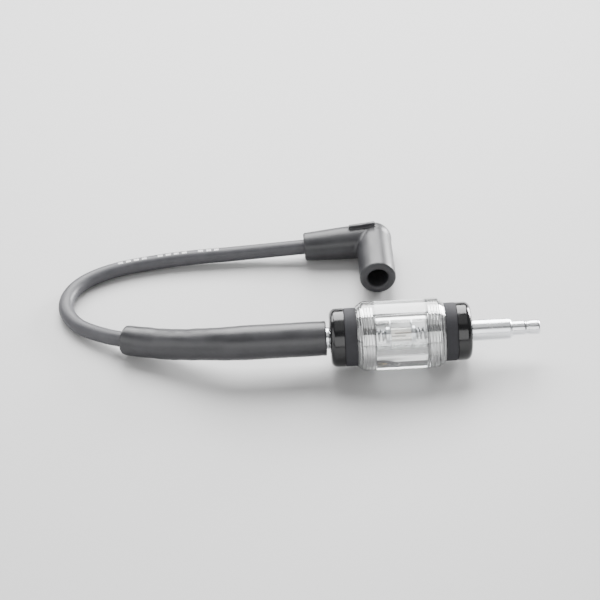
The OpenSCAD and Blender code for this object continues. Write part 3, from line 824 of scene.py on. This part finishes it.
def makeLamp(s):
    glass, capIn, end = s["glass"], s["capIn"], s["end"]
    reach = end - s["capEnd"] - s["gap"]
    inner = glass - s["glassWall"]
    loop = fillet([(0, inner), (-reach, inner, 0.2), (-reach, glass, 0.25), (reach, glass, 0.25),
                   (reach, inner, 0.2), (0, inner)])
    tube = meshObject("lampGlass", [lathe(loop, s["columns"]) + (0,)], ("lampGlass",), s["glassSharp"])
    pieces = [(tube, "lamp_glass", "lamp_glass")]
    cup = glass + s["gap"]
    floor = end - s["capEnd"]
    flangeOut = capIn + s["flangeThickness"]
    bossEnd = end + s["bossLength"]
    cap = fillet([(floor, 0), (floor, cup, 0.1), (capIn, cup, 0.1), (capIn, s["flange"], 0.15),
                  (flangeOut, s["flange"], 0.15), (flangeOut, s["capRadius"], 0.25),
                  (end, s["capRadius"], 0.35), (end, s["boss"], 0.2), (bossEnd, s["boss"], 0.35),
                  (bossEnd, 0)])
    for name, side, node in (("lampCapPost", 1, "lamp_cap_post"), ("lampCapLead", -1, "lamp_cap_lead")):
        parts = [lathe(mirrored(cap, side), s["columns"]) + (0,)]
        pieces.append((meshObject(name, parts, ("platedMetal",), s["capSharp"]), node, "plated_metal"))
    tip = floor - s["electrodeLength"]
    points = [(tip + x, share) for x, share in s["electrodeTip"]] + [(floor - s["electrodeGap"], 1.0)]
    for name, side, node in (("lampElectrodePost", 1, "lamp_electrode_post"),
                             ("lampElectrodeLead", -1, "lamp_electrode_lead")):
        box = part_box(node)
        y, z = (box[0][1] + box[1][1]) / 2, (box[0][2] + box[1][2]) / 2
        line = [Vector(((side * x - midX) * mm, y, z)) for x, share in points]
        girth = [s["electrode"] * share * mm for x, share in points]
        obj = sweptPiece(name, line, girth, s["electrodeSides"], "electrodeMetal")
        pieces.append((obj, node, "electrode_metal"))
    for obj, node, slot in pieces:
        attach(obj, "barrel")
        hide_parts(node)


makeLamp(lampSettings)
print("lamp made")

# Contact springs: closed end curls

springSettings = {
    "wire": 0.7, "mean": 4.9, "curls": 8, "from": 6.7, "to": 18.45, "pointsPerCurl": 28, "sides": 14,
    "closedCurls": 0.9,  # at each end
    "closedPitch": 1.02,  # wires
}


def makeSpring(name, side, node, s):
    count = s["curls"] * s["pointsPerCurl"]
    closed = s["closedCurls"] / s["curls"]
    flat = s["wire"] * s["closedPitch"] / (s["to"] - s["from"]) * s["curls"]
    line = []
    for k in range(count + 1):
        t = k / count
        inner = min(max((t - closed) / (1 - 2 * closed), 0), 1)
        ends = min(t, closed) * flat + max(t - 1 + closed, 0) * flat
        share = ends + inner * (1 - 2 * closed * flat)
        a = math.tau * s["curls"] * t
        x = s["from"] + (s["to"] - s["from"]) * share
        line.append(Vector(((side * x - midX) * mm, s["mean"] / 2 * math.cos(a) * side * mm,
                            (axisZ + s["mean"] / 2 * math.sin(a)) * mm)))
    obj = sweptPiece(name, line, [s["wire"] / 2 * mm] * len(line), s["sides"], "springSteel")
    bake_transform(obj)
    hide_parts(node)


makeSpring("postSpring", 1, "post_spring", springSettings)
makeSpring("leadSpring", -1, "lead_spring", springSettings)
print("springs wound")

# Rubber sleeve over the crimp tube

sleeveSettings = {
    "start": 32.2, "radius": 7.6, "endRadius": 6.6, "bore": 4.8, "endBore": 3.62, "lip": 0.7, "columns": 72,
    "step": 0.9, "spans": 3, "spanSteps": 12, "taper": 0.6, "sharp": 60,
    "boreRun": 1,  # the wide bore goes this far past the crimp tube
    "foldRun": 12,  # the folds grow over this stretch
    "fold": 0.10, "dent": 0.07, "smallDent": 0.05, "firmDent": 0.03,
    "rings": ((0.10, 2.2, 0.9), (0.06, 15.3, 1.4)),  # depth, place, width
}


def pathFrames(line):
    frames = []
    for k, p in enumerate(line):
        t = (line[min(k + 1, len(line) - 1)] - line[max(k - 1, 0)]).normalized()
        side = Vector((0, 0, 1)).cross(t).normalized()
        frames.append((p, side, t.cross(side), t))
    return frames


def resample(line, step):
    total = runLength(line)
    count = max(2, round(total / step))
    out, k, done = [line[0]], 0, 0.0
    for n in range(1, count):
        want = total * n / count
        while done + (line[k + 1] - line[k]).length < want:
            done += (line[k + 1] - line[k]).length
            k += 1
        span = (line[k + 1] - line[k]).length
        out.append(line[k].lerp(line[k + 1], (want - done) / span))
    return out + [line[-1]]


def wrinkle(s, along, angle, straightEnd):
    # soft folds on the free stretch and faint rings at both ends of the stud's shank
    free = min(max((along - straightEnd) / s["foldRun"], 0), 1)
    fold = s["fold"] * math.sin(along * 0.62 + 1.3 * math.sin(angle + 0.4)) * math.sin(along * 0.17 + 0.6)
    dent = s["dent"] * math.sin(2 * angle + along * 0.11)
    dent += s["smallDent"] * math.sin(3 * angle - along * 0.23 + 1.0)
    firm = s["firmDent"] * math.sin(2 * angle + along * 0.3)
    ring = sum(depth * math.exp(-((along - place) / width) ** 2) for depth, place, width in s["rings"])
    return free * (fold + dent) + (1 - free) * firm - ring


def makeSleeve(s, lead):
    firm = [Vector((-s["start"], 0, axisZ)), Vector((-lead["crimpEnd"], 0, axisZ))]
    free = smoothCurve(route, s["spanSteps"], armWay(armSettings))[1:s["spans"] * s["spanSteps"] + 1]
    line = resample(firm + free, s["step"])
    frames = pathFrames(line)
    straightEnd = lead["crimpEnd"] - s["start"]
    total = runLength(line)
    n = s["columns"]
    verts, rings = [], []

    def addRing(f, shift, radius, along=None):
        rings.append(len(verts))
        for k in range(n):
            a = math.tau * k / n
            r = radius if along is None else radius + wrinkle(s, along, a, straightEnd)
            p = f[0] + f[3] * shift + (f[1] * math.cos(a) + f[2] * math.sin(a)) * r
            verts.append(tuple(inRow([p])[0]))

    lip, wide, bore, endBore = s["lip"], s["radius"], s["bore"], s["endBore"]
    outer = []
    for k, f in enumerate(frames):
        along = total * k / (len(line) - 1)
        share = max(0, (along - straightEnd) / (total - straightEnd))
        outer.append((f, along, wide + (s["endRadius"] - wide) * share ** s["taper"]))
    # the first end's rings, from the bore outwards: shift along the line, radius
    for shift, radius in ((0.4, bore), (0, bore + 0.3), (0, wide - lip), (0.12, wide - lip * 0.3),
                          (lip * 0.7, wide - 0.02)):
        addRing(frames[0], shift, radius)
    for f, along, radius in outer[2:-1]:
        addRing(f, 0, radius, along)
    end = outer[-1][2]
    addRing(frames[-1], -0.25, end - 0.05, total)
    for shift, radius in ((-0.08, end - lip * 0.35), (0, end - lip), (0, endBore + 0.45),
                          (-0.35, endBore + 0.1), (-1.2, endBore)):
        addRing(frames[-1], shift, radius)
    for f, along, radius in reversed(outer[:-2]):
        if along < 1:
            break
        addRing(f, 0, bore if along < straightEnd + s["boreRun"] else endBore)
    faces = [(a + k, a + (k + 1) % n, b + (k + 1) % n, b + k)
             for a, b in zip(rings, rings[1:] + rings[:1]) for k in range(n)]
    return meshObject("leadSleeve", [(verts, faces, 0)], ("sleeveRubber",), s["sharp"])


sleeve = makeSleeve(sleeveSettings, leadSettings)
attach(sleeve, "lead_carrier")
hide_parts("lead_sleeve")
print("sleeve made")

# Boot

bootSettings = {
    "ball": 8.5, "inset": 0.3, "armRadius": 6.55, "armLength": armSettings["length"], "armRound": 0.8,
    "armBore": 3.65, "shoulderAt": 15.0, "shoulder": 7.7, "legRadius": 8.4, "legLength": 31.0,
    "mouthRound": 1.4, "mouth": 4.7, "mouthChamfer": 0.8, "boreFloor": 9.2,
    "ribLength": 11.2, "ribOver": 1.2, "ribWidth": 1.6, "ribHeight": 2.0, "ribRound": 0.3,
    # how softly the forms run into each other
    "seam": 0.15, "blend": 1.6, "blendFrom": 2, "blendRun": 4, "ribBlend": 0.45, "mouthBlend": 0.35,
    "armBoreBlend": 0.3,
    "cell": 0.42, "margin": 1.3, "sideMargin": 1.5, "sharp": 50, "weld": 1e-7,
}


def softMin(a, b, k):
    h = np.clip(0.5 + 0.5 * (b - a) / k, 0, 1)
    return b * (1 - h) + a * h - k * h * (1 - h)


def roundedEnd(side, end, rounding):
    # distance to the inside of a side wall and an end face that meet in a rounded edge
    a, b = side + rounding, end + rounding
    return np.minimum(np.maximum(a, b), 0) + np.hypot(np.maximum(a, 0), np.maximum(b, 0)) - rounding


def bootField(p, s):
    # distance from the boot's surface, in mm, with the elbow at the origin
    x, y, z = p[..., 0], p[..., 1], p[..., 2]
    start = s["ball"] - s["inset"]
    armR = np.hypot(y, z)
    armSide = armR - np.interp(-x, (0, s["shoulderAt"], s["armLength"]),
                               (start, s["shoulder"], s["armRadius"]))
    arm = np.maximum(roundedEnd(armSide, -x - s["armLength"], s["armRound"]), x)
    legR = np.hypot(x, z)
    legSide = legR - (start + (s["legRadius"] - start) * np.clip(-y / s["legLength"], 0, 1))
    leg = np.maximum(roundedEnd(legSide, -y - s["legLength"], s["mouthRound"]), y)
    ball = np.sqrt(x * x + y * y + z * z) - s["ball"]
    corner = [np.clip((-way - s["blendFrom"]) / s["blendRun"], 0, 1) for way in (x, y)]
    body = softMin(softMin(leg, ball, s["seam"]), arm, s["seam"] + s["blend"] * (corner[0] * corner[1]))
    # the rib's top falls with the arm's taper
    ribRun = s["ribLength"] + s["ribOver"]
    fall = (s["ball"] - s["shoulder"]) * np.clip((s["ribOver"] - x) / ribRun, 0, 1)
    ribEnds = np.abs(x + (s["ribLength"] - s["ribOver"]) / 2) - ribRun / 2
    ribTop = np.maximum(z - s["ball"] - s["ribHeight"] + fall, -z)
    q = np.stack((ribEnds, np.abs(y) - s["ribWidth"] / 2, ribTop), axis=-1) + s["ribRound"]
    rib = np.linalg.norm(np.maximum(q, 0), axis=-1) + np.minimum(q.max(axis=-1), 0) - s["ribRound"]
    body = softMin(body, rib, s["ribBlend"])
    chamfer = s["mouthChamfer"]
    flare = np.clip((-y - s["legLength"] + chamfer) / chamfer, 0, 1.5) * chamfer
    bore = np.maximum(legR - s["mouth"] - flare, y + s["boreFloor"])
    armBore = np.maximum(armR - s["armBore"], x + s["boreFloor"])
    return -softMin(softMin(-body, bore, s["mouthBlend"]), armBore, s["armBoreBlend"])


def moulded(field, low, high, cell, rounds=4, probe=0.02, leastSlope=0.3):
    # quads over the zero surface of a field, one vertex in each cell that the surface crosses
    counts = [int(math.ceil((b - a) / cell)) + 1 for a, b in zip(low, high)]
    axes = [a + cell * np.arange(n) for a, n in zip(low, counts)]
    values = field(np.stack(np.meshgrid(*axes, indexing="ij"), axis=-1))
    cells = tuple(n - 1 for n in counts)
    total = np.zeros(cells + (3,))
    hits = np.zeros(cells)
    base = np.stack(np.meshgrid(*[np.arange(n) for n in cells], indexing="ij"), axis=-1).astype(float)
    for axis in range(3):
        b, c = [k for k in range(3) if k != axis]
        for db, dc in ((0, 0), (0, 1), (1, 0), (1, 1)):
            shift = [0, 0, 0]
            shift[b], shift[c] = db, dc
            one = values[tuple(slice(k, k + n) for k, n in zip(shift, cells))]
            shift[axis] = 1
            two = values[tuple(slice(k, k + n) for k, n in zip(shift, cells))]
            cross = (one < 0) != (two < 0)
            spot = base.copy()
            spot[..., b] += db
            spot[..., c] += dc
            spot[..., axis] += np.where(cross, one / np.where(cross, one - two, 1), 0)
            total += np.where(cross[..., None], spot, 0)
            hits += cross
    live = hits > 0
    number = np.full(cells, -1)
    number[live] = np.arange(live.sum())
    verts = np.array(low) + cell * total[live] / hits[live][:, None]
    faces = []
    for axis in range(3):
        b, c = [k for k in range(3) if k != axis]
        first = [slice(1, n - 1) for n in counts]
        first[axis] = slice(0, cells[axis])
        second = list(first)
        second[axis] = slice(1, counts[axis])
        i = np.argwhere((values[tuple(first)] < 0) != (values[tuple(second)] < 0))
        i[:, b] += 1
        i[:, c] += 1
        corner = []
        for db, dc in ((1, 1), (0, 1), (0, 0), (1, 0)):
            j = i.copy()
            j[:, b] -= db
            j[:, c] -= dc
            corner.append(number[j[:, 0], j[:, 1], j[:, 2]])
        faces.append(np.stack(corner, axis=1))
    steps = probe * np.eye(3)
    for k in range(rounds):
        # settle the vertices on the surface
        d = field(verts)
        slope = np.stack([(field(verts + step) - field(verts - step)) / (2 * probe) for step in steps],
                         axis=-1)
        pull = d / np.maximum((slope ** 2).sum(axis=-1), leastSlope)
        verts = verts - np.clip(pull, -cell / 2, cell / 2)[:, None] * slope
    return verts, np.concatenate(faces)


def makeBoot(s, arm):
    r = max(s["ball"], s["legRadius"]) + s["sideMargin"]
    low = (-s["armLength"] - s["margin"], -s["legLength"] - s["margin"], -r)
    high = (r, r, s["ball"] + s["ribHeight"] + s["margin"])
    verts, faces = moulded(lambda p: bootField(p, s), low, high, s["cell"])
    lean = math.radians(arm["tilt"])
    turn = np.array(((math.cos(lean), 0, math.sin(lean)), (0, 1, 0), (-math.sin(lean), 0, math.cos(lean))))
    elbow = np.array((arm["elbow"][0] - midX, *arm["elbow"][1:]))
    verts = (verts @ turn + elbow) * mm
    parts = [([tuple(v) for v in verts], [tuple(int(k) for k in f) for f in faces], 0)]
    obj = meshObject("bootCover", parts, ("bootRubber",), s["sharp"], s["weld"])
    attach(obj, "boot")
    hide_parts("boot")
    return obj


boot = makeBoot(bootSettings, armSettings)
print("boot moulded", len(boot.data.polygons), "faces")

# Hidden pieces keep their solids and get their finishes

for name, finish in (("boot_terminal", "brass"), ("boot_clip", "springSteel"), ("lead_crimp", "brass"),
                     ("post_washer", "washerMetal"), ("lead_washer", "washerMetal"),
                     ("post_clip", "springSteel"), ("lead_clip", "springSteel")):
    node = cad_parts[name]
    node.data.materials.clear()
    node.data.materials.append(finishes[finish])

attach(jacket, "lead_carrier")
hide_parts("lead_jacket")
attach(core, "lead_carrier")
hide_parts("lead_core")

# Floor and light

stageSettings = {
    "floorTone": 0.5, "floorRoughness": 0.45, "floorHalf": 4, "worldTone": 0.14,
    "lights": [
        # name, place, aim, size x, size y, watts
        ("backSoftbox", (-0.04, 0.62, 0.62), (-0.03, 0.03, 0.0), 0.7, 0.75, 23),
        ("backRightStrip", (0.9, 0.79, 0.3), (0.0, 0.07, 0.01), 0.53, 0.54, 48),
        ("frontCard", (-0.05, -0.95, 0.4), (-0.04, 0.0, 0.01), 1.6, 0.7, 9),
        ("backLeftCard", (-0.62, 0.6, 0.5), (-0.1, 0.03, 0.0), 0.4, 0.5, 5),
        ("topPanel", (0.0, -0.1, 1.0), (0.0, 0.0, 0.0), 1.0, 0.7, 1.6),
        ("leftCard", (-0.8, -0.28, 0.35), (0.0, 0.03, 0.01), 0.7, 0.6, 3.0),
    ],
}


def makeStage(s):
    floor = bpy.data.materials.new("paleFloor")
    floor.use_nodes = True
    shader = floor.node_tree.nodes["Principled BSDF"]
    shader.inputs["Base Color"].default_value = gray(s["floorTone"])
    shader.inputs["Roughness"].default_value = s["floorRoughness"]
    half = s["floorHalf"]
    mesh = bpy.data.meshes.new("floor")
    corners = [(-half, -half, 0), (half, -half, 0), (half, half, 0), (-half, half, 0)]
    mesh.from_pydata(corners, [], [(0, 1, 2, 3)])
    mesh.materials.append(floor)
    obj = placedObject("floor", mesh)
    world = bpy.data.worlds.new("studio")
    world.use_nodes = True
    world.node_tree.nodes["Background"].inputs[0].default_value = gray(s["worldTone"])
    world.node_tree.nodes["Background"].inputs[1].default_value = 1
    scene.world = world
    for name, place, aim, sizeX, sizeY, watts in s["lights"]:
        data = bpy.data.lights.new(name, "AREA")
        data.shape = "RECTANGLE"
        data.size = sizeX
        data.size_y = sizeY
        data.energy = watts
        light = placedObject(name, data)
        light.location = place
        light.rotation_euler = (Vector(aim) - Vector(place)).to_track_quat("-Z", "Y").to_euler()


makeStage(stageSettings)
print("stage lit")

bpy.context.view_layer.update()
